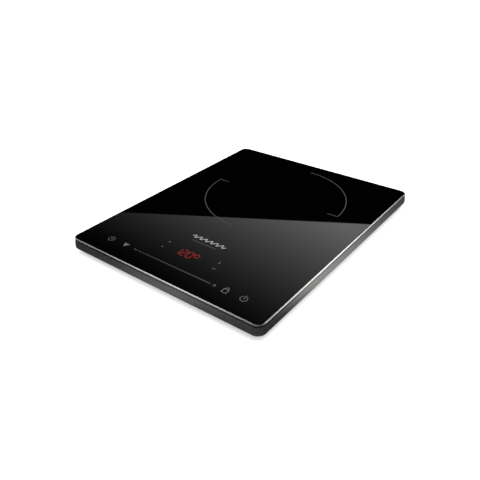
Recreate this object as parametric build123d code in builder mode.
from build123d import *
import os
from math import asin, cos, degrees, radians, sin, sqrt

# Portable induction hob with one cooking zone. Millimetres, +Z up, +X to the user's right,
# +Y away from the user. The origin is on the table, under the middle of the hob.

os.makedirs("parts", exist_ok=True)

# ---------------------------------------------------------------- driving dimensions

glass_width = 287.2
glass_depth = 361.2
glass_thickness = 4.0
glass_corner = 8.5
overall_height = 22.0
rim_height = 15.0
foot_height = 3.0
pan_wall = 1.5
rim_overhang = 2.4

zone_y = 59.3
coil_wire = 1.4
coil_pitch = 3.1
coil_inner = 24.0
coil_half_turns = 38

fan_x = 92.0
fan_y = -72.0
blade_radius = 27.0
blade_count = 29

gland_x = -105.0
cord_radius = 3.4

screw_radius = 1.45
screw_hole = 1.5
head_radius = 2.7
head_height = 1.6

# ---------------------------------------------------------------- heights that follow

glass_low = overall_height - glass_thickness
frame_low = overall_height - rim_height
floor_top = foot_height + pan_wall
trim_low = glass_low + 0.9
ledge_top = glass_low - 0.4
ledge_low = ledge_top - 1.2
flange_top = frame_low + 1.2
pan_flange_low = frame_low - 2.4

coil_z = glass_low - 2.05
former_top = coil_z - coil_wire
former_low = former_top - 1.5
ferrite_height = 3.0
shield_top = former_low - 3.8
shield_low = shield_top - 0.8

board_low = floor_top + 2.0
board_top = board_low + 1.6
panel_low = floor_top + 5.9
panel_top = panel_low + 1.6


# ---------------------------------------------------------------- shared shapes


def outline_path(offset, height):
    """Closed line at an offset outside the glass edge, starting in the middle of the +X side."""
    x = glass_width / 2 + offset
    y = glass_depth / 2 + offset
    corner = glass_corner + offset
    with BuildLine(Plane.XY.offset(height)) as path:
        right = Line((x, 0), (x, y - corner))
        back_right = JernArc(right @ 1, (0, 1), corner, 90)
        back = Line(back_right @ 1, (corner - x, y))
        back_left = JernArc(back @ 1, (-1, 0), corner, 90)
        left = Line(back_left @ 1, (-x, corner - y))
        front_left = JernArc(left @ 1, (0, -1), corner, 90)
        front = Line(front_left @ 1, (x - corner, -y))
        front_right = JernArc(front @ 1, (1, 0), corner, 90)
        Line(front_right @ 1, (x, 0))
    return path.wire()


def outline_size(offset):
    """Width, depth and corner radius of a rounded rectangle at an offset outside the glass edge."""
    return (
        glass_width + 2 * offset,
        glass_depth + 2 * offset,
        glass_corner + offset,
    )


def ring_at(radius, count, first, centre):
    """Points evenly spaced on a circle round a centre, the first at the given angle."""
    angles = [radians(first + 360 * step / count) for step in range(count)]
    return [
        (centre[0] + radius * cos(angle), centre[1] + radius * sin(angle))
        for angle in angles
    ]


def mirrored(points):
    """The same points with their twins on the other side of the hob's middle plane."""
    return points + [(-x, y) for x, y in points]


# Section plane at the start of outline_path: across the rim, +X outward, +Z up.
rim_section = Plane(origin=(glass_width / 2, 0, 0), x_dir=(1, 0, 0), z_dir=(0, -1, 0))
zone = (0, zone_y)

# ---------------------------------------------------------------- glass, seal, trim, side frame

with BuildPart() as glass_top:
    with BuildSketch(Plane.XY.offset(glass_low)):
        RectangleRounded(*outline_size(0))
    extrude(amount=glass_thickness)
    chamfer(glass_top.faces().sort_by(Axis.Z)[-1].edges(), length=0.3)
glass_top.part.label = "glass_top"
export_step(glass_top.part, "parts/glass_top.step")

seal_gap = 0.25
seal_reach = 4.6

# The seal is an angle of silicone: its flat leg lies under the glass, its upright beside it.
with BuildPart() as glass_seal:
    with BuildSketch(rim_section):
        with BuildLine():
            Polyline(
                (-seal_reach, ledge_top),
                (seal_gap, ledge_top),
                (seal_gap, overall_height - 0.4),
                (0, overall_height - 0.4),
                (0, glass_low),
                (-seal_reach, glass_low),
                close=True,
            )
        make_face()
    sweep(path=outline_path(0, 0))
glass_seal.part.label = "glass_seal"
export_step(glass_seal.part, "parts/glass_seal.step")

trim_out = rim_overhang - 1.0
groove_out = trim_out - 0.7
trim_foot = trim_low - 0.5
trim_round = 1.4

# The trim stands on a narrow foot, and the step above its foot leaves the dark groove.
with BuildPart() as trim_frame:
    with BuildSketch(rim_section):
        with BuildLine():
            Line((seal_gap, trim_foot), (groove_out, trim_foot))
            Line((groove_out, trim_foot), (groove_out, trim_low))
            Line((groove_out, trim_low), (trim_out, trim_low))
            Line((trim_out, trim_low), (trim_out, overall_height - trim_round))
            TangentArc(
                (trim_out, overall_height - trim_round),
                (seal_gap + 0.15, overall_height),
                tangent=(0, 1),
            )
            Line((seal_gap + 0.15, overall_height), (seal_gap, overall_height))
            Line((seal_gap, overall_height), (seal_gap, trim_foot))
        make_face()
    sweep(path=outline_path(0, 0))
trim_frame.part.label = "trim_frame"
export_step(trim_frame.part, "parts/trim_frame.step")

frame_top_out = trim_out - 0.1
bulge_z = frame_low + 2.6
frame_inner = 0.4
ledge_reach = 5.0
flange_reach = 7.5
gland_z = frame_low + 5.3
gland_radius = cord_radius + 1.15
frame_screws = mirrored(
    [
        (glass_width / 2 - ledge_reach, -120),
        (glass_width / 2 - ledge_reach, 0),
        (glass_width / 2 - ledge_reach, 120),
        (88, glass_depth / 2 - ledge_reach),
        (88, ledge_reach - glass_depth / 2),
    ]
)
slot_width = 2.2
slot_pitch = 4.4
wall_slots = 16

# The side frame is a channel: bulged wall, glass ledge at the top, screw flange at the bottom.
with BuildPart() as side_frame:
    with BuildSketch(rim_section):
        with BuildLine():
            bulge = TangentArc((rim_overhang, bulge_z), (frame_top_out, trim_foot), tangent=(0, 1))
            lower = TangentArc((rim_overhang, bulge_z), (rim_overhang - 1.5, frame_low), tangent=(0, -1))
            Polyline(
                lower @ 1,
                (-flange_reach, frame_low),
                (-flange_reach, flange_top),
                (frame_inner, flange_top),
                (frame_inner, ledge_low),
                (-ledge_reach, ledge_low),
                (-ledge_reach, ledge_top),
                (seal_gap, ledge_top),
                (seal_gap, trim_foot),
                bulge @ 1,
            )
        make_face()
    sweep(path=outline_path(0, 0))
    with BuildSketch(Plane.XY.offset(frame_low)):
        with Locations(*frame_screws):
            Circle(screw_hole)
    extrude(amount=flange_top - frame_low, mode=Mode.SUBTRACT)
    # Round way through the rear wall for the cord gland.
    with BuildSketch(Plane.XZ.offset(-glass_depth / 2 + 12)):
        with Locations((gland_x, gland_z)):
            Circle(gland_radius + 0.05)
    extrude(amount=-20, mode=Mode.SUBTRACT)
    # Upright exhaust slots through the left wall, beside the heat sink.
    with BuildSketch(Plane.YZ.offset(-glass_width / 2 - rim_overhang - 1)):
        with Locations((fan_y + 26, (flange_top + ledge_low) / 2)):
            with GridLocations(slot_pitch, 0, wall_slots, 1):
                SlotOverall(ledge_low - flange_top - 1.6, slot_width, rotation=90)
    extrude(amount=rim_overhang + 2, mode=Mode.SUBTRACT)
side_frame.part.label = "side_frame"
export_step(side_frame.part, "parts/side_frame.step")

# ---------------------------------------------------------------- base pan, feet, gland

pan_slope = 45
pan_out = -2.3
tray_out = -9.6
post_radius = 3.0
foot_points = mirrored([(116, 150), (116, -150)])
foot_stem = 2.4
coil_posts = ring_at(92.0, 4, 45, zone)
board_posts = [(-123, -99), (-123, -39), (-11, -39), (51.5, -99)]
panel_posts = mirrored([(112, -163), (112, -111)])
fan_posts = [
    (fan_x + reach * cos(radians(angle)), fan_y + reach * sin(radians(angle)))
    for reach, angle in ((32.7, 225), (33.4, 315), (36.4, 45))
]
fan_floor_low = floor_top + 1.2
grille_radius = 24.0
grille_pitch = 4.5
grille_slot = 2.4
groove_pitch = 20.0
groove_width = 3.0
tray_drop = pan_flange_low - foot_height
cavity_out = tray_out - 1.2

with BuildPart() as base_pan:
    # Flange under the side frame.
    with BuildSketch(Plane.XY.offset(pan_flange_low)):
        RectangleRounded(*outline_size(pan_out))
    extrude(amount=frame_low - pan_flange_low)
    # Tray below the flange, with sloping sides.
    with BuildSketch(Plane.XY.offset(pan_flange_low)):
        RectangleRounded(glass_width + 2 * tray_out, glass_depth + 2 * tray_out, 6)
    extrude(amount=-tray_drop, taper=pan_slope)
    with BuildSketch(Plane.XY.offset(frame_low)):
        RectangleRounded(glass_width + 2 * cavity_out, glass_depth + 2 * cavity_out, 5)
    extrude(amount=floor_top - frame_low, taper=pan_slope / 2, mode=Mode.SUBTRACT)
    # Stiffening ribs across the floor under the cooking zone.
    with BuildSketch(Plane.XY.offset(floor_top)):
        with Locations((0, zone_y)):
            with GridLocations(0, 34, 1, 5):
                Rectangle(150, 1.2)
            with GridLocations(50, 0, 3, 1):
                Rectangle(1.2, 150)
    extrude(amount=1.5)
    # Posts that carry the coil, the boards and the fan.
    with BuildSketch(Plane.XY.offset(floor_top)):
        with Locations(*coil_posts):
            Circle(post_radius + 1)
    extrude(amount=shield_low - floor_top)
    with BuildSketch(Plane.XY.offset(floor_top)):
        with Locations(*board_posts):
            Circle(post_radius)
    extrude(amount=board_low - floor_top)
    with BuildSketch(Plane.XY.offset(floor_top)):
        with Locations(*panel_posts):
            Circle(post_radius)
    extrude(amount=panel_low - floor_top)
    with BuildSketch(Plane.XY.offset(floor_top)):
        with Locations(*fan_posts):
            Circle(post_radius)
    extrude(amount=fan_floor_low - floor_top)
    with BuildSketch(Plane.XY.offset(foot_height + 0.6)):
        with Locations(*coil_posts, *board_posts, *panel_posts, *fan_posts):
            Circle(screw_hole)
    extrude(amount=panel_low, mode=Mode.SUBTRACT)
    # Holes for the feet, and countersunk holes for the base screws.
    with BuildSketch(Plane.XY.offset(foot_height)):
        with Locations(*foot_points):
            Circle(foot_stem + 0.1)
    extrude(amount=pan_wall, mode=Mode.SUBTRACT)
    with Locations(Plane.XY.offset(pan_flange_low).rotated((180, 0, 0))):
        with Locations(*[(x, -y) for x, y in frame_screws]):
            CounterBoreHole(
                radius=screw_hole,
                counter_bore_radius=head_radius + 0.1,
                counter_bore_depth=1.4,
                depth=frame_low - pan_flange_low,
            )
    # Round intake grille of straight slots below the fan.
    for row in range(-5, 6):
        across = row * grille_pitch
        slot_length = 2 * sqrt(grille_radius**2 - across**2)
        with BuildSketch(Plane.XY.offset(foot_height)):
            with Locations((fan_x, fan_y + across)):
                with GridLocations(slot_length / 2, 0, 2, 1):
                    SlotOverall(slot_length / 2 - 1.6, grille_slot)
        extrude(amount=pan_wall, mode=Mode.SUBTRACT)
    # Exhaust slots through the floor at the left, behind the power board.
    with BuildSketch(Plane.XY.offset(foot_height)):
        with Locations((-108, 15)):
            with GridLocations(0, slot_pitch + 0.6, 1, 12):
                SlotOverall(26, slot_width)
    extrude(amount=pan_wall, mode=Mode.SUBTRACT)
    # Shallow blank field for a rating plate, long stiffening grooves, and a groove round the grille.
    with BuildSketch(Plane.XY.offset(foot_height)):
        with Locations((0, -60)):
            RectangleRounded(70, 40, 2)
        with Locations((0, zone_y)):
            with GridLocations(0, groove_pitch, 1, 7):
                SlotOverall(150, groove_width)
        with Locations((0, 30 - glass_depth / 2)):
            with GridLocations(0, groove_pitch / 2, 1, 2):
                SlotOverall(170, groove_width)
        with Locations((fan_x, fan_y)):
            Circle(grille_radius + 4)
            Circle(grille_radius + 2.5, mode=Mode.SUBTRACT)
    extrude(amount=0.4, mode=Mode.SUBTRACT)
base_pan.part.label = "base_pan"
export_step(base_pan.part, "parts/base_pan.step")

foot_radius = 9.0

with BuildPart() as rubber_feet:
    with BuildSketch():
        with Locations(*foot_points):
            Circle(foot_radius)
    extrude(amount=foot_height)
    fillet(rubber_feet.faces().sort_by(Axis.Z)[0:4].edges(), radius=0.8)
    with BuildSketch(Plane.XY.offset(foot_height)):
        with Locations(*foot_points):
            Circle(foot_stem)
    extrude(amount=pan_wall)
    with BuildSketch(Plane.XY.offset(floor_top)):
        with Locations(*foot_points):
            Circle(foot_stem + 0.9)
    extrude(amount=1.5, taper=25)
rubber_feet.part.label = "rubber_feet"
export_step(rubber_feet.part, "parts/rubber_feet.step")


def screw_group(points, seat, length, hangs_down):
    """Pan-head screws with cross recesses. The seat is the height of the face under the heads."""
    toward_tip = 1 if hangs_down else -1
    head_top = seat - toward_tip * head_height
    with BuildPart() as screws:
        with BuildSketch(Plane.XY.offset(seat)):
            with Locations(*points):
                Circle(head_radius)
        extrude(amount=-toward_tip * head_height, taper=12)
        with BuildSketch(Plane.XY.offset(seat)):
            with Locations(*points):
                Circle(screw_radius)
        extrude(amount=toward_tip * (length - 1))
        with BuildSketch(Plane.XY.offset(seat + toward_tip * (length - 1))):
            with Locations(*points):
                Circle(screw_radius)
        extrude(amount=toward_tip, taper=40)
        with BuildSketch(Plane.XY.offset(head_top)):
            with Locations(*points):
                Rectangle(2.6, 0.6)
                Rectangle(0.6, 2.6)
        extrude(amount=toward_tip * 0.8, mode=Mode.SUBTRACT)
    return screws


base_screws = screw_group(frame_screws, pan_flange_low + 1.4, 6.0, True)
base_screws.part.label = "base_screws"
export_step(base_screws.part, "parts/base_screws.step")

gland_out = glass_depth / 2 + rim_overhang - 0.15
gland_collar = glass_depth / 2 - flange_reach - 0.1

# The gland is a bush through the rear wall, with a collar behind the wall's flanges.
with BuildPart() as cord_gland:
    with BuildSketch(Plane.XZ.offset(-gland_out)):
        with Locations((gland_x, gland_z)):
            Circle(gland_radius)
    extrude(amount=gland_out - gland_collar + 2.4)
    with BuildSketch(Plane.XZ.offset(-gland_collar)):
        with Locations((gland_x, gland_z)):
            Circle(gland_radius + 0.6)
    extrude(amount=2.4)
    with BuildSketch(Plane.XZ.offset(-gland_out)):
        with Locations((gland_x, gland_z)):
            Circle(cord_radius)
    extrude(amount=gland_out - gland_collar + 2.4, mode=Mode.SUBTRACT)
cord_gland.part.label = "cord_gland"
export_step(cord_gland.part, "parts/cord_gland.step")

# ---------------------------------------------------------------- cooking zone

coil_outer = coil_inner + coil_half_turns * coil_pitch / 2
former_radius = coil_outer + coil_wire + 3.5
mica_thickness = 0.5
lug_radius = 6.0
rim_wall = 2.0
former_rim_top = coil_z + coil_wire - 0.1

with BuildPart() as mica_sheet:
    with BuildSketch(Plane.XY.offset(glass_low - mica_thickness)):
        with Locations(zone):
            Circle(former_radius + 4)
            Circle(9, mode=Mode.SUBTRACT)
    extrude(amount=mica_thickness)
mica_sheet.part.label = "mica_sheet"
export_step(mica_sheet.part, "parts/mica_sheet.step")

# The winding is a spiral of half circles. Their centres alternate between two points half a
# pitch apart, so each half circle is half a pitch larger than the one before and meets it smoothly.
with BuildPart() as induction_coil:
    with BuildLine(Plane.XY.offset(coil_z)) as spiral:
        for half_turn in range(coil_half_turns):
            odd = half_turn % 2
            CenterArc(
                (0, zone_y - odd * coil_pitch / 2),
                coil_inner + half_turn * coil_pitch / 2,
                90 if odd else -90,
                -180,
            )
    with BuildSketch(Plane(origin=(0, zone_y - coil_inner, coil_z), x_dir=(0, 1, 0), z_dir=(-1, 0, 0))):
        Circle(coil_wire)
    sweep(path=spiral.wire())
induction_coil.part.label = "induction_coil"
export_step(induction_coil.part, "parts/induction_coil.step")

bar_count = 8
bar_inner = 34.0
bar_length = 46.0
bar_width = 10.0
bar_middle = bar_inner + bar_length / 2
inner_lead_x = 3.5
rim_gap_x = -26.5
rim_gap_length = 23.0
rim_gap_depth = 12.0

with BuildPart() as coil_former:
    with BuildSketch(Plane.XY.offset(former_low)):
        with Locations(zone):
            Circle(former_radius)
            Circle(20, mode=Mode.SUBTRACT)
            # Open windows between the ferrite bars let the cooling air reach the winding.
            with PolarLocations(57, bar_count, start_angle=0):
                SlotOverall(36, 11, mode=Mode.SUBTRACT)
            # Web across the middle for the temperature sensor.
            Rectangle(42, 9)
            Circle(8)
            Circle(5.4, mode=Mode.SUBTRACT)
        with Locations(*coil_posts):
            Circle(lug_radius)
        with Locations((inner_lead_x, zone_y - coil_inner)):
            Circle(1.7, mode=Mode.SUBTRACT)
        with Locations(*coil_posts):
            Circle(screw_hole, mode=Mode.SUBTRACT)
    extrude(amount=former_top - former_low)
    # Rim that holds the outermost turn, with a gap for the outgoing lead.
    with BuildSketch(Plane.XY.offset(former_top)):
        with Locations(zone):
            Circle(former_radius)
            Circle(former_radius - rim_wall, mode=Mode.SUBTRACT)
        with Locations((rim_gap_x, zone_y - former_radius + 4)):
            Rectangle(rim_gap_length, rim_gap_depth, mode=Mode.SUBTRACT)
    extrude(amount=former_rim_top - former_top)
coil_former.part.label = "coil_former"
export_step(coil_former.part, "parts/coil_former.step")

with BuildPart() as ferrite_bars:
    with BuildSketch(Plane.XY.offset(former_low - ferrite_height)):
        with Locations(zone):
            with PolarLocations(bar_middle, bar_count, start_angle=22.5):
                RectangleRounded(bar_length, bar_width, 1)
    extrude(amount=ferrite_height)
ferrite_bars.part.label = "ferrite_bars"
export_step(ferrite_bars.part, "parts/ferrite_bars.step")

with BuildPart() as shield_plate:
    with BuildSketch(Plane.XY.offset(shield_low)):
        with Locations(zone):
            Circle(former_radius + 2)
            Circle(14, mode=Mode.SUBTRACT)
        with Locations(*coil_posts):
            Circle(lug_radius)
            Circle(screw_hole, mode=Mode.SUBTRACT)
    extrude(amount=shield_top - shield_low)
shield_plate.part.label = "shield_plate"
export_step(shield_plate.part, "parts/shield_plate.step")

with BuildPart() as coil_pads:
    with BuildSketch(Plane.XY.offset(shield_top)):
        with Locations(*coil_posts):
            Circle(3.8)
            Circle(screw_hole + 0.1, mode=Mode.SUBTRACT)
    extrude(amount=former_low - shield_top)
coil_pads.part.label = "coil_pads"
export_step(coil_pads.part, "parts/coil_pads.step")

coil_screws = screw_group(coil_posts, former_top, former_top - floor_top, False)
coil_screws.part.label = "coil_screws"
export_step(coil_screws.part, "parts/coil_screws.step")

holder_low = shield_top + 0.6
holder_top = glass_low - mica_thickness - 0.2
sensor_top = glass_low
sensor_low = sensor_top - 2.4
pocket_low = holder_low + 1.6
block_reach = 7.4

with BuildPart() as sensor_holder:
    with BuildSketch(Plane.XY.offset(holder_low)):
        with Locations(zone):
            Circle(5.2)
    extrude(amount=holder_top - holder_low)
    with BuildSketch(Plane.XY.offset(former_top)):
        with Locations(zone):
            Circle(7.4)
    extrude(amount=0.8)
    # Side block where the sensor's lead comes out.
    with BuildSketch(Plane.XY.offset(holder_low)):
        with Locations((-block_reach / 2, zone_y)):
            Rectangle(block_reach, 3.4)
    extrude(amount=former_low - holder_low - 0.4)
    with BuildSketch(Plane.XY.offset(pocket_low)):
        with Locations(zone):
            Circle(3.5)
    extrude(amount=holder_top - pocket_low, mode=Mode.SUBTRACT)
sensor_holder.part.label = "sensor_holder"
export_step(sensor_holder.part, "parts/sensor_holder.step")

with BuildPart() as temperature_sensor:
    with BuildSketch(Plane.XY.offset(sensor_low)):
        with Locations(zone):
            Circle(3.3)
    extrude(amount=sensor_top - sensor_low)
    fillet(temperature_sensor.edges().sort_by(Axis.Z)[-1], radius=0.5)
temperature_sensor.part.label = "temperature_sensor"
export_step(temperature_sensor.part, "parts/temperature_sensor.step")

sensor_wire = 0.25
sensor_coil = 2.6

with BuildPart() as sensor_spring:
    rise = sensor_low - pocket_low - 2 * sensor_wire - 0.04
    spring_start = Plane(
        origin=(sensor_coil, zone_y, pocket_low + sensor_wire + 0.02), x_dir=(1, 0, 0), z_dir=(0, 1, 0)
    )
    with BuildLine(Plane((0, zone_y, pocket_low + sensor_wire + 0.02))) as spring_line:
        Helix(pitch=rise / 4, height=rise, radius=sensor_coil)
    with BuildSketch(spring_start):
        Circle(sensor_wire)
    sweep(path=spring_line.wire(), is_frenet=True)
sensor_spring.part.label = "sensor_spring"
export_step(sensor_spring.part, "parts/sensor_spring.step")


def lead(points, bends, radius):
    """Round wire along straight runs joined by arcs, starting square to its first run."""
    with BuildPart() as wire:
        with BuildLine() as route:
            FilletPolyline(*points, radius=bends)
        start = Plane(origin=route.wire() @ 0, z_dir=route.wire() % 0)
        with BuildSketch(start):
            Circle(radius)
        sweep(path=route.wire())
    return wire


terminal_x = (-22.0, -34.0)
terminal_y = -41.0
lug_z = board_top + 2.9
lead_radius = 1.2
under_former = former_low - 2.1
coil_end_y = zone_y - coil_outer
lead_end_y = terminal_y + 3.6

outer_lead = lead(
    [
        (0, coil_end_y, coil_z),
        (terminal_x[1], coil_end_y, coil_z),
        (terminal_x[1], coil_end_y - 7, coil_z),
        (terminal_x[1], lead_end_y + 3.5, lug_z),
        (terminal_x[1], lead_end_y, lug_z),
    ],
    [2.6, 1.6, 1.6],
    lead_radius,
)
inner_lead = lead(
    [
        (0, zone_y - coil_inner, coil_z),
        (inner_lead_x, zone_y - coil_inner, coil_z),
        (inner_lead_x, zone_y - coil_inner, under_former),
        (inner_lead_x, -26, under_former),
        (terminal_x[0], -33, under_former),
        (terminal_x[0], lead_end_y, lug_z),
    ],
    [1.7, 1.7, 6.0, 2.0],
    lead_radius,
)

with BuildPart() as coil_leads:
    add(outer_lead.part)
    add(inner_lead.part)
    # Ring lugs under the terminal screws.
    with BuildSketch(Plane.XY.offset(board_top + 2.5)):
        with Locations(*[(x, terminal_y) for x in terminal_x]):
            Circle(3.4)
            Circle(screw_hole, mode=Mode.SUBTRACT)
        with Locations(*[(x, terminal_y + 3.4) for x in terminal_x]):
            Rectangle(2.2, 1.6)
    extrude(amount=0.8)
coil_leads.part.label = "coil_leads"
export_step(coil_leads.part, "parts/coil_leads.step")

sensor_plug = (-46.0, -38.3)
lead_z = holder_low + 0.9

sensor_lead = lead(
    [
        (-block_reach, zone_y, lead_z),
        (-13, zone_y, lead_z),
        (-13, 42, lead_z),
        (-4, 24, lead_z),
        (-4, -19, lead_z),
        (sensor_plug[0], -28, lead_z),
        (sensor_plug[0], sensor_plug[1] + 2.5, lead_z),
    ],
    [2.4, 6.0, 6.0, 5.0, 2.0],
    0.7,
)
sensor_lead.part.label = "sensor_lead"
export_step(sensor_lead.part, "parts/sensor_lead.step")

# ---------------------------------------------------------------- fan

housing_wall = 1.2
scroll_inner = 28.6
scroll_step = 1.8
scroll_outer = scroll_inner + 3 * scroll_step
outlet_x = -31.0
tongue_y = 14.3
fan_floor_top = fan_floor_low + housing_wall
fan_wall_top = fan_floor_top + 8.8
fan_top = fan_wall_top + 1.0
ear_top = fan_floor_low + 2.5
motor_plate = 11.5
bush_outer = 3.0
tube_outer = 3.9
tube_top = fan_floor_top + 5.6


def scroll_face(growth):
    """Spiral outline of the fan's air chamber, made of arcs that grow towards the outlet."""
    first = scroll_inner + growth
    near_wall = tongue_y - growth
    far_wall = scroll_outer + growth
    outlet = outlet_x - (2 if growth == 0 else 0)
    tongue_angle = 180 - degrees(asin(near_wall / first))
    with BuildSketch() as face:
        with BuildLine():
            tongue = CenterArc((0, 0), first, tongue_angle, 270 - tongue_angle)
            CenterArc((0, scroll_step), first + scroll_step, 270, 90)
            CenterArc((-scroll_step, scroll_step), first + 2 * scroll_step, 0, 90)
            Polyline(
                (-scroll_step, far_wall),
                (outlet, far_wall),
                (outlet, near_wall),
                tongue @ 0,
            )
        make_face()
    return face.sketch


fan_frame = Plane((fan_x, fan_y, 0))

with BuildPart() as fan_housing:
    with BuildSketch(fan_frame.offset(fan_floor_low)):
        add(scroll_face(housing_wall))
        with Locations(*[(x - fan_x, y - fan_y) for x, y in fan_posts]):
            Circle(post_radius + 1)
    extrude(amount=ear_top - fan_floor_low)
    with BuildSketch(fan_frame.offset(ear_top)):
        add(scroll_face(housing_wall))
    extrude(amount=fan_wall_top - ear_top)
    with BuildSketch(fan_frame.offset(fan_floor_top)):
        add(scroll_face(0))
    extrude(amount=fan_wall_top - fan_floor_top, mode=Mode.SUBTRACT)
    # Air inlet in the floor, crossed by four spokes that carry the motor plate.
    with BuildSketch(fan_frame.offset(fan_floor_low)):
        Circle(grille_radius - 2)
        Circle(motor_plate, mode=Mode.SUBTRACT)
        with PolarLocations(grille_radius / 2 + 4, 4, start_angle=45):
            Rectangle(16, 3, mode=Mode.SUBTRACT)
    extrude(amount=housing_wall, mode=Mode.SUBTRACT)
    with BuildSketch(fan_frame.offset(fan_floor_top)):
        Circle(tube_outer)
    extrude(amount=tube_top - fan_floor_top)
    with BuildSketch(fan_frame.offset(fan_floor_top - 0.2)):
        Circle(bush_outer)
    extrude(amount=tube_top, mode=Mode.SUBTRACT)
    with BuildSketch(fan_frame.offset(fan_floor_low)):
        with Locations(*[(x - fan_x, y - fan_y) for x, y in fan_posts]):
            Circle(screw_hole)
    extrude(amount=ear_top - fan_floor_low, mode=Mode.SUBTRACT)
fan_housing.part.label = "fan_housing"
export_step(fan_housing.part, "parts/fan_housing.step")

with BuildPart() as fan_cover:
    with BuildSketch(fan_frame.offset(fan_wall_top)):
        add(scroll_face(housing_wall))
    extrude(amount=fan_top - fan_wall_top)
    # Shallow rings stiffen the cover.
    with BuildSketch(fan_frame.offset(fan_top - 0.4)):
        for ring in (12, 20):
            Circle(ring + 1)
            Circle(ring, mode=Mode.SUBTRACT)
    extrude(amount=0.4, mode=Mode.SUBTRACT)
fan_cover.part.label = "fan_cover"
export_step(fan_cover.part, "parts/fan_cover.step")

shaft_radius = 1.0
clip_low = fan_floor_top + 0.4
bush_low = clip_low + 0.9
hub_radius = 12.6
cup_radius = 11.5
cup_wall = 0.5
cup_top = fan_floor_top + 6.5
disc_top = fan_floor_top + 7.5
blade_low = fan_floor_top + 0.9
blade_inner = 18.0

with BuildPart() as fan_bearing:
    with BuildSketch(fan_frame.offset(bush_low)):
        Circle(bush_outer)
        Circle(shaft_radius + 0.03, mode=Mode.SUBTRACT)
    extrude(amount=tube_top - bush_low)
fan_bearing.part.label = "fan_bearing"
export_step(fan_bearing.part, "parts/fan_bearing.step")

with BuildPart() as fan_shaft:
    with BuildSketch(fan_frame.offset(clip_low - 0.1)):
        Circle(shaft_radius)
    extrude(amount=disc_top - 0.4 - clip_low + 0.1)
    # Groove for the clip.
    with BuildSketch(fan_frame.offset(clip_low + 0.2)):
        Circle(shaft_radius)
        Circle(shaft_radius - 0.25, mode=Mode.SUBTRACT)
    extrude(amount=0.4, mode=Mode.SUBTRACT)
fan_shaft.part.label = "fan_shaft"
export_step(fan_shaft.part, "parts/fan_shaft.step")

with BuildPart() as fan_clip:
    with BuildSketch(fan_frame.offset(clip_low + 0.2)):
        Circle(2.0)
        Circle(shaft_radius - 0.25, mode=Mode.SUBTRACT)
        with Locations((2, 0)):
            Rectangle(4, 0.8, mode=Mode.SUBTRACT)
    extrude(amount=0.4)
fan_clip.part.label = "fan_clip"
export_step(fan_clip.part, "parts/fan_clip.step")

with BuildPart() as fan_rotor_cup:
    with BuildSketch(fan_frame.offset(fan_floor_top + 1.6)):
        Circle(cup_radius)
        Circle(cup_radius - cup_wall, mode=Mode.SUBTRACT)
    extrude(amount=cup_top - fan_floor_top - 1.6)
    with BuildSketch(fan_frame.offset(cup_top - cup_wall)):
        Circle(cup_radius)
    extrude(amount=cup_wall)
    with BuildSketch(fan_frame.offset(cup_top - cup_wall)):
        Circle(shaft_radius)
    extrude(amount=cup_wall, mode=Mode.SUBTRACT)
fan_rotor_cup.part.label = "fan_rotor_cup"
export_step(fan_rotor_cup.part, "parts/fan_rotor_cup.step")

with BuildPart() as fan_magnet_ring:
    with BuildSketch(fan_frame.offset(fan_floor_top + 1.8)):
        Circle(cup_radius - cup_wall)
        Circle(9.6, mode=Mode.SUBTRACT)
    extrude(amount=3.6)
fan_magnet_ring.part.label = "fan_magnet_ring"
export_step(fan_magnet_ring.part, "parts/fan_magnet_ring.step")

# Outline of one blade, a thin arc that leans back against the turning direction.
with BuildSketch() as blade:
    with BuildLine():
        hollow_side = ThreePointArc((blade_inner, 0.35), (22.6, -0.75), (26.6, -3.9))
        full_side = ThreePointArc((blade_inner, -0.35), (22.6, -1.5), (26.3, -4.6))
        Line(hollow_side @ 0, full_side @ 0)
        Line(hollow_side @ 1, full_side @ 1)
    make_face()

with BuildPart() as fan_impeller:
    with BuildSketch(fan_frame.offset(cup_top)):
        Circle(blade_radius)
    extrude(amount=disc_top - cup_top)
    with BuildSketch(fan_frame.offset(disc_top - 0.4)):
        Circle(shaft_radius + 2)
    extrude(amount=0.9)
    with BuildSketch(fan_frame.offset(fan_floor_top + 1.6)):
        Circle(hub_radius)
        Circle(cup_radius, mode=Mode.SUBTRACT)
    extrude(amount=cup_top - fan_floor_top - 1.6)
    with BuildSketch(fan_frame.offset(blade_low)):
        with PolarLocations(0, blade_count):
            add(blade.sketch)
    extrude(amount=cup_top - blade_low)
    # Ring that ties the blades together below.
    with BuildSketch(fan_frame.offset(blade_low)):
        Circle(blade_radius)
        Circle(blade_radius - 1.4, mode=Mode.SUBTRACT)
    extrude(amount=0.8)
    with BuildSketch(fan_frame.offset(cup_top)):
        Circle(shaft_radius)
    extrude(amount=disc_top - 0.4 - cup_top, mode=Mode.SUBTRACT)
fan_impeller.part.label = "fan_impeller"
export_step(fan_impeller.part, "parts/fan_impeller.step")

tooth_count = 6
stator_low = fan_floor_top + 2.6
stator_height = 2.4
tooth_reach = 9.1

# Laminated core: six teeth with broad tips, pressed on the bearing tube.
with BuildPart() as fan_stator_core:
    with BuildSketch(fan_frame.offset(stator_low)):
        Circle(5.0)
        Circle(tooth_reach)
        Circle(8.2, mode=Mode.SUBTRACT)
        with PolarLocations(tooth_reach, tooth_count, start_angle=30):
            Rectangle(2.4, 2.0, mode=Mode.SUBTRACT)
        with PolarLocations(6.2, tooth_count):
            Rectangle(4.6, 1.6)
        Circle(5.0)
        Circle(tube_outer, mode=Mode.SUBTRACT)
    extrude(amount=stator_height)
fan_stator_core.part.label = "fan_stator_core"
export_step(fan_stator_core.part, "parts/fan_stator_core.step")

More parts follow.
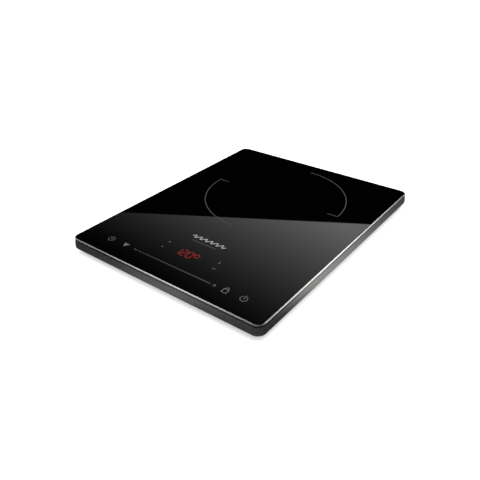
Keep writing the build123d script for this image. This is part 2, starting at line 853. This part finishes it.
with BuildPart() as fan_stator_winding:
    with BuildSketch(fan_frame.offset(stator_low - 0.6)):
        with PolarLocations(6.6, tooth_count):
            RectangleRounded(2.6, 3.2, 0.7)
    extrude(amount=stator_height + 1.2)
    with BuildSketch(fan_frame.offset(stator_low)):
        with PolarLocations(6.6, tooth_count):
            Rectangle(2.8, 1.6)
    extrude(amount=stator_height, mode=Mode.SUBTRACT)
fan_stator_winding.part.label = "fan_stator_winding"
export_step(fan_stator_winding.part, "parts/fan_stator_winding.step")

with BuildPart() as fan_board:
    with BuildSketch(fan_frame.offset(fan_floor_top)):
        Circle(motor_plate - 1)
        Circle(tube_outer, mode=Mode.SUBTRACT)
    extrude(amount=0.8)
    with BuildSketch(fan_frame.offset(fan_floor_top + 0.8)):
        with Locations((7.4, 0), (-7, 3)):
            Rectangle(2.6, 1.8)
    extrude(amount=0.6)
fan_board.part.label = "fan_board"
export_step(fan_board.part, "parts/fan_board.step")

fan_plug = (32.0, -96.0)
fan_lead_z = board_top + 1.6
fan_lead_y = fan_plug[1] + 1.0
lead_way = Vector(-1, 0, 0).rotate(Axis.Z, 25)
lead_root = Vector(fan_x, fan_y, fan_lead_z) + lead_way * (scroll_inner + housing_wall + 0.02)
lead_knee = lead_root + lead_way * 8

# The fan's lead leaves the housing wall square and turns along the front of the heat sink.
fan_lead = lead(
    [
        lead_root,
        lead_knee,
        (lead_knee.X, fan_lead_y, fan_lead_z),
        (fan_plug[0] + 4, fan_lead_y, fan_lead_z),
    ],
    [3.0, 2.5],
    0.9,
)
fan_lead.part.label = "fan_lead"
export_step(fan_lead.part, "parts/fan_lead.step")

# ---------------------------------------------------------------- power board and its parts

board_left = -128.0
board_right = 56.0
board_front = -104.0
board_back = -34.0
board_middle = ((board_left + board_right) / 2, (board_front + board_back) / 2)
part_top = glass_low - 0.9

with BuildPart() as power_board:
    with BuildSketch(Plane.XY.offset(board_low)):
        with Locations(board_middle):
            RectangleRounded(board_right - board_left, board_back - board_front, 2)
        with Locations(*board_posts):
            Circle(screw_hole, mode=Mode.SUBTRACT)
    extrude(amount=board_top - board_low)
power_board.part.label = "power_board"
export_step(power_board.part, "parts/power_board.step")

sink_left = -4.0
sink_right = 52.0
sink_front = -90.0
sink_back = -36.0
sink_plate = 2.5
fin_count = 8
fin_wall = 1.2
fin_field = 26.0
sink_middle = ((sink_left + sink_right) / 2, (sink_front + sink_back) / 2)
device_low = board_top + sink_plate
sink_screws = [(12, -83.5), (37, -83.5)]

# Extruded heat sink: fins in the fan's stream, and a bare shelf in front of them for the devices.
with BuildPart() as heatsink:
    with BuildSketch(Plane.XY.offset(board_top)):
        with Locations(sink_middle):
            Rectangle(sink_right - sink_left, sink_back - sink_front)
        with Locations(*sink_screws):
            Circle(screw_hole, mode=Mode.SUBTRACT)
    extrude(amount=sink_plate)
    with BuildSketch(Plane.XY.offset(device_low)):
        with Locations((sink_middle[0], sink_back - fin_field / 2)):
            with GridLocations(0, (fin_field - fin_wall) / (fin_count - 1), 1, fin_count):
                Rectangle(sink_right - sink_left, fin_wall)
    extrude(amount=part_top - device_low)
heatsink.part.label = "heatsink"
export_step(heatsink.part, "parts/heatsink.step")


def flat_device(middle_x, width, length, thickness, leg_count, leg_pitch):
    """Power device lying on the heat sink's shelf, with legs bent down into the board."""
    front = sink_front + 2.0
    leg_z = device_low + thickness / 2
    leg_xs = [middle_x + (step - (leg_count - 1) / 2) * leg_pitch for step in range(leg_count)]
    with BuildPart() as device:
        with BuildSketch(Plane.XY.offset(device_low)):
            with Locations((middle_x, front + length / 2)):
                RectangleRounded(width, length, 0.6)
        extrude(amount=thickness)
        chamfer(device.faces().sort_by(Axis.Z)[-1].edges(), length=0.5)
        with BuildSketch(Plane.XY.offset(leg_z - 0.3)):
            with Locations(*[(x, front - 2.2) for x in leg_xs]):
                Rectangle(1.2, 4.4)
        extrude(amount=0.6)
        with BuildSketch(Plane.XY.offset(board_top)):
            with Locations(*[(x, front - 4.1) for x in leg_xs]):
                Rectangle(1.2, 0.6)
        extrude(amount=leg_z - board_top)
        with BuildSketch(Plane.XY.offset(device_low)):
            with Locations(*sink_screws):
                Circle(screw_hole)
        extrude(amount=thickness, mode=Mode.SUBTRACT)
    return device


igbt = flat_device(sink_screws[0][0], 16, 20, 5.0, 3, 5.4)
igbt.part.label = "igbt"
export_step(igbt.part, "parts/igbt.step")

bridge_rectifier = flat_device(sink_screws[1][0], 22, 18, 5.0, 4, 5.0)
bridge_rectifier.part.label = "bridge_rectifier"
export_step(bridge_rectifier.part, "parts/bridge_rectifier.step")

heatsink_screws = screw_group(sink_screws, device_low + 5.0, 5.0 + sink_plate - 0.1, False)
heatsink_screws.part.label = "heatsink_screws"
export_step(heatsink_screws.part, "parts/heatsink_screws.step")


def film_capacitor(middle, length, width, height):
    """Moulded box capacitor standing on the power board."""
    with BuildPart() as capacitor:
        with BuildSketch(Plane.XY.offset(board_top)):
            with Locations(middle):
                Rectangle(length, width)
        extrude(amount=height)
        fillet(capacitor.edges().filter_by(Axis.Z), radius=1.2)
        fillet(capacitor.faces().sort_by(Axis.Z)[-1].edges(), radius=0.5)
    return capacitor


resonant_capacitor = film_capacitor((-62, -52), 31, 20, 9.0)
resonant_capacitor.part.label = "resonant_capacitor"
export_step(resonant_capacitor.part, "parts/resonant_capacitor.step")

smoothing_capacitor = film_capacitor((-62, -76), 31, 18, 9.0)
smoothing_capacitor.part.label = "smoothing_capacitor"
export_step(smoothing_capacitor.part, "parts/smoothing_capacitor.step")

filter_capacitor = film_capacitor((-104, -80), 26, 15, 8.5)
filter_capacitor.part.label = "filter_capacitor"
export_step(filter_capacitor.part, "parts/filter_capacitor.step")

choke = (-98, -56)
choke_outer = 11.0
choke_inner = 6.0
choke_low = board_top + 1.4
choke_height = 6.0
choke_wire = 0.55
choke_turns = 22

with BuildPart() as choke_core:
    with BuildSketch(Plane.XY.offset(choke_low)):
        with Locations(choke):
            Circle(choke_outer)
            Circle(choke_inner, mode=Mode.SUBTRACT)
    extrude(amount=choke_height)
    fillet(choke_core.edges().filter_by(GeomType.CIRCLE), radius=0.6)
choke_core.part.label = "choke_core"
export_step(choke_core.part, "parts/choke_core.step")

turn_gap = choke_wire + 0.05
turn_inner = choke_inner - turn_gap
turn_outer = choke_outer + turn_gap
turn_top = choke_height + turn_gap

# One turn of wire round the core, standing in a radial plane.
with BuildPart() as choke_turn:
    with BuildLine() as turn_line:
        FilletPolyline(
            (turn_outer, 0, -turn_gap),
            (turn_outer, 0, turn_top),
            (turn_inner, 0, turn_top),
            (turn_inner, 0, -turn_gap),
            radius=1.0,
            close=True,
        )
    with BuildSketch(Plane(origin=turn_line.wire() @ 0, z_dir=turn_line.wire() % 0)):
        Circle(choke_wire)
    sweep(path=turn_line.wire())

with BuildPart() as choke_winding:
    with Locations((*choke, choke_low)):
        with PolarLocations(0, choke_turns):
            add(choke_turn.part)
choke_winding.part.label = "choke_winding"
export_step(choke_winding.part, "parts/choke_winding.step")

fuse_x = -62.0
fuse_y = -96.5
fuse_radius = 2.6
fuse_z = board_top + 3.2
fuse_length = 20.0
fuse_reach = 12.0

# Cartridge fuse: glass tube between two metal caps, soldered to the board by its end leads.
with BuildPart() as mains_fuse:
    with BuildSketch(Plane.YZ.offset(fuse_x - fuse_length / 2)):
        with Locations((fuse_y, fuse_z)):
            Circle(fuse_radius)
    extrude(amount=fuse_length)
    with BuildSketch(Plane.YZ.offset(fuse_x - 5)):
        with Locations((fuse_y, fuse_z)):
            Circle(fuse_radius)
            Circle(fuse_radius - 0.2, mode=Mode.SUBTRACT)
    extrude(amount=10, mode=Mode.SUBTRACT)
    with BuildSketch(Plane.YZ.offset(fuse_x - fuse_reach)):
        with Locations((fuse_y, fuse_z)):
            Circle(0.4)
    extrude(amount=2 * fuse_reach)
    with BuildSketch(Plane.XY.offset(board_top)):
        with Locations((fuse_x - fuse_reach, fuse_y), (fuse_x + fuse_reach, fuse_y)):
            Circle(0.4)
    extrude(amount=fuse_z + 0.4 - board_top)
mains_fuse.part.label = "mains_fuse"
export_step(mains_fuse.part, "parts/mains_fuse.step")

with BuildPart() as varistor:
    with BuildSketch(Plane.XY.offset(board_top + 0.3)):
        with Locations((-85, -96)):
            Circle(5)
    extrude(amount=4)
    fillet(varistor.edges(), radius=1.2)
    with BuildSketch(Plane.XY.offset(board_top)):
        with Locations((-87, -96), (-83, -96)):
            Circle(0.4)
    extrude(amount=0.8)
varistor.part.label = "varistor"
export_step(varistor.part, "parts/varistor.step")

with BuildPart() as current_transformer:
    with BuildSketch(Plane.XY.offset(board_top)):
        with Locations((-36, -60)):
            RectangleRounded(13, 11, 1)
    extrude(amount=8)
    with BuildSketch(Plane.XZ.offset(60 - 6)):
        with Locations((-36, board_top + 4.4)):
            Circle(2.4)
    extrude(amount=12, mode=Mode.SUBTRACT)
current_transformer.part.label = "current_transformer"
export_step(current_transformer.part, "parts/current_transformer.step")

# Small ferrite transformer: bobbin and winding between the legs of its core.
with BuildPart() as standby_transformer:
    with BuildSketch(Plane.XY.offset(board_top)):
        with Locations((-30, -80)):
            Rectangle(13, 13)
    extrude(amount=1.6)
    with BuildSketch(Plane.XY.offset(board_top + 1.6)):
        with Locations((-30, -80)):
            Rectangle(12, 5)
            RectangleRounded(7.5, 11, 2)
    extrude(amount=5.6)
    with BuildSketch(Plane.XY.offset(board_top + 7.2)):
        with Locations((-30, -80)):
            Rectangle(12, 5)
    extrude(amount=1.4)
standby_transformer.part.label = "standby_transformer"
export_step(standby_transformer.part, "parts/standby_transformer.step")

can_radius = 4.0
can_z = board_top + can_radius + 0.1

with BuildPart() as electrolytic_capacitors:
    for can_y in (-70, -80):
        with BuildSketch(Plane.YZ.offset(-21)):
            with Locations((can_y, can_z)):
                Circle(can_radius)
        extrude(amount=12)
        # Crimped groove near the sealed end.
        with BuildSketch(Plane.YZ.offset(-19.6)):
            with Locations((can_y, can_z)):
                Circle(can_radius)
                Circle(can_radius - 0.4, mode=Mode.SUBTRACT)
        extrude(amount=0.8, mode=Mode.SUBTRACT)
electrolytic_capacitors.part.label = "electrolytic_capacitors"
export_step(electrolytic_capacitors.part, "parts/electrolytic_capacitors.step")

chip = (-36, -97)
chip_length = 10.0
chip_width = 4.0

with BuildPart() as microcontroller:
    with BuildSketch(Plane.XY.offset(board_top + 0.2)):
        with Locations(chip):
            Rectangle(chip_length, chip_width)
    extrude(amount=1.6)
    with BuildSketch(Plane.XY.offset(board_top)):
        with Locations(chip):
            with GridLocations(1.27, chip_width + 1.0, 8, 2):
                Rectangle(0.45, 1.4)
    extrude(amount=0.9)
microcontroller.part.label = "microcontroller"
export_step(microcontroller.part, "parts/microcontroller.step")

with BuildPart() as buzzer:
    with BuildSketch(Plane.XY.offset(board_top)):
        with Locations((-108, -96)):
            Circle(6)
    extrude(amount=6.5)
    fillet(buzzer.edges().sort_by(Axis.Z)[-1], radius=0.6)
    with BuildSketch(Plane.XY.offset(board_top + 4.5)):
        with Locations((-108, -96)):
            Circle(1.2)
    extrude(amount=2, mode=Mode.SUBTRACT)
buzzer.part.label = "buzzer"
export_step(buzzer.part, "parts/buzzer.step")

# Square terminal blocks, each with its screw down through the lead's lug.
with BuildPart() as coil_terminals:
    with BuildSketch(Plane.XY.offset(board_top)):
        with Locations(*[(x, terminal_y) for x in terminal_x]):
            Rectangle(7, 7)
            Circle(screw_hole, mode=Mode.SUBTRACT)
    extrude(amount=2.5)
    terminal_screws = screw_group([(x, terminal_y) for x in terminal_x], board_top + 3.3, 3.2, False)
    add(terminal_screws.part)
coil_terminals.part.label = "coil_terminals"
export_step(coil_terminals.part, "parts/coil_terminals.step")

mains_tabs = [(-108, -40), (-116, -40)]
ribbon_x = -14.0
ribbon_start = -108.5
ribbon_end = -100.5

# Plug sockets of the sensor, the fan and the ribbon's two ends, and the flat tabs of the mains leads.
with BuildPart() as board_connectors:
    with BuildSketch(Plane.XY.offset(board_top)):
        with Locations(sensor_plug, fan_plug):
            Rectangle(8, 5)
        with Locations((ribbon_x, -98)):
            Rectangle(18, 5)
        with Locations(*mains_tabs):
            Rectangle(4.8, 4)
    extrude(amount=4.2)
    with BuildSketch(Plane.XY.offset(panel_top)):
        with Locations((ribbon_x, ribbon_start - 2)):
            Rectangle(18, 4)
    extrude(amount=3)
board_connectors.part.label = "board_connectors"
export_step(board_connectors.part, "parts/board_connectors.step")

terminal_block_y = 134.0
block_depth = 14.0
block_height = 10.5
cell_pitch = 9.0

# Three-way terminal block on the floor behind the cord gland.
with BuildPart() as terminal_block:
    with BuildSketch(Plane.XY.offset(floor_top)):
        with Locations((gland_x, terminal_block_y)):
            Rectangle(3 * cell_pitch + 2, block_depth)
    extrude(amount=block_height)
    with BuildSketch(Plane.XY.offset(floor_top + block_height - 3)):
        with Locations((gland_x, terminal_block_y)):
            with GridLocations(cell_pitch, 0, 3, 1):
                Circle(2.6)
    extrude(amount=3, mode=Mode.SUBTRACT)
    with BuildSketch(Plane.XY.offset(floor_top + block_height - 3)):
        with Locations((gland_x, terminal_block_y)):
            with GridLocations(cell_pitch, 0, 3, 1):
                Circle(2.2)
                Rectangle(4.0, 0.6, mode=Mode.SUBTRACT)
    extrude(amount=1.2)
    # Cable ways at the back.
    with BuildSketch(Plane.XZ.offset(-terminal_block_y - block_depth / 2)):
        with Locations((gland_x, floor_top + 4.4)):
            with GridLocations(cell_pitch, 0, 3, 1):
                Circle(2.0)
    extrude(amount=5, mode=Mode.SUBTRACT)
terminal_block.part.label = "terminal_block"
export_step(terminal_block.part, "parts/terminal_block.step")

block_front = terminal_block_y - block_depth / 2
mains_z = floor_top + 4.4
tab_z = board_top + 2.2

with BuildPart() as mains_leads:
    for start_x, tab in zip((gland_x, gland_x - cell_pitch), mains_tabs):
        mains_lead = lead(
            [
                (start_x, block_front, mains_z),
                (start_x, block_front - 16, mains_z),
                (tab[0], block_front - 34, mains_z),
                (tab[0], tab[1] + 24, mains_z),
                (tab[0], tab[1] + 12, tab_z),
                (tab[0], tab[1] + 2, tab_z),
            ],
            [20.0, 20.0, 10.0, 10.0],
            lead_radius,
        )
        add(mains_lead.part)
mains_leads.part.label = "mains_leads"
export_step(mains_leads.part, "parts/mains_leads.step")

# ---------------------------------------------------------------- controls under the glass

panel_middle = (0, -137)
panel_width = 236.0
panel_depth = 62.0
keys_y = -154.6
key_points = [(-100.7, keys_y), (-75.8, keys_y), (-62, keys_y), (66, keys_y), (80, keys_y), (104.5, keys_y)]
display = (0.8, -125.5)
lamps = [(-37, -117), (-37, -131), (43.5, -118), (43.5, -130.2)]
slider_left = -54.0
slider_right = 58.0
slider_cells = 8

with BuildPart() as control_board:
    with BuildSketch(Plane.XY.offset(panel_low)):
        with Locations(panel_middle):
            RectangleRounded(panel_width, panel_depth, 3)
        with Locations(*panel_posts):
            Circle(screw_hole, mode=Mode.SUBTRACT)
    extrude(amount=panel_top - panel_low)
control_board.part.label = "control_board"
export_step(control_board.part, "parts/control_board.step")

display_top = glass_low - 0.4

# Display module with a window recess for each of its three digits and the degree ring.
with BuildPart() as display_module:
    with BuildSketch(Plane.XY.offset(panel_top)):
        with Locations(display):
            RectangleRounded(38, 18, 1)
    extrude(amount=display_top - panel_top)
    with BuildSketch(Plane.XY.offset(display_top - 0.5)):
        with Locations(display):
            with GridLocations(9.2, 0, 4, 1):
                RectangleRounded(7.6, 14, 0.8)
    extrude(amount=0.5, mode=Mode.SUBTRACT)
display_module.part.label = "display_module"
export_step(display_module.part, "parts/display_module.step")

key_wire = 0.3
key_coil = 3.2
key_rise = glass_low - panel_top - 2 * key_wire - 0.04

# One touch spring, standing on the board and pressed against the glass.
with BuildPart() as touch_spring:
    with BuildLine() as key_line:
        Helix(pitch=key_rise / 4, height=key_rise, radius=key_coil)
    with BuildSketch(Plane(origin=(key_coil, 0, 0), x_dir=(1, 0, 0), z_dir=(0, 1, 0))):
        Circle(key_wire)
    sweep(path=key_line.wire(), is_frenet=True)

with BuildPart() as touch_springs:
    with Locations(*[(x, y, panel_top + key_wire + 0.02) for x, y in key_points]):
        add(touch_spring.part)
touch_springs.part.label = "touch_springs"
export_step(touch_springs.part, "parts/touch_springs.step")

with BuildPart() as slider_electrodes:
    with BuildSketch(Plane.XY.offset(panel_top)):
        with Locations(((slider_left + slider_right) / 2, keys_y)):
            with GridLocations((slider_right - slider_left) / slider_cells, 0, slider_cells, 1):
                RectangleRounded(12, 6, 1)
    extrude(amount=glass_low - panel_top)
slider_electrodes.part.label = "slider_electrodes"
export_step(slider_electrodes.part, "parts/slider_electrodes.step")

with BuildPart() as indicator_leds:
    with BuildSketch(Plane.XY.offset(panel_top)):
        with Locations(*lamps):
            Rectangle(3.4, 3.4)
    extrude(amount=1.4)
    with BuildSketch(Plane.XY.offset(panel_top + 1.4)):
        with Locations(*lamps):
            Circle(1.5)
    extrude(amount=display_top - panel_top - 1.4)
indicator_leds.part.label = "indicator_leds"
export_step(indicator_leds.part, "parts/indicator_leds.step")

ribbon_width = 14.0
ribbon_high = panel_top + 1.5
ribbon_low = board_top + 2.1

with BuildPart() as ribbon_cable:
    with BuildLine() as ribbon_route:
        FilletPolyline(
            (ribbon_x, ribbon_start, ribbon_high),
            (ribbon_x, -104.2, ribbon_high),
            (ribbon_x, -104.2, ribbon_low),
            (ribbon_x, ribbon_end, ribbon_low),
            radius=1.2,
        )
    with BuildSketch(Plane(origin=(ribbon_x, ribbon_start, ribbon_high), x_dir=(1, 0, 0), z_dir=(0, 1, 0))):
        Rectangle(ribbon_width, 0.6)
    sweep(path=ribbon_route.wire())
ribbon_cable.part.label = "ribbon_cable"
export_step(ribbon_cable.part, "parts/ribbon_cable.step")

# The boards and the fan housing are held by the same short screws.
board_screws = screw_group(board_posts, board_top, 4.4, False)
panel_screws = screw_group(panel_posts, panel_top, 4.4, False)
fan_screws = screw_group(fan_posts, ear_top, 4.4, False)

with BuildPart() as inner_screws:
    add(board_screws.part)
    add(panel_screws.part)
    add(fan_screws.part)
inner_screws.part.label = "inner_screws"
export_step(inner_screws.part, "parts/inner_screws.step")
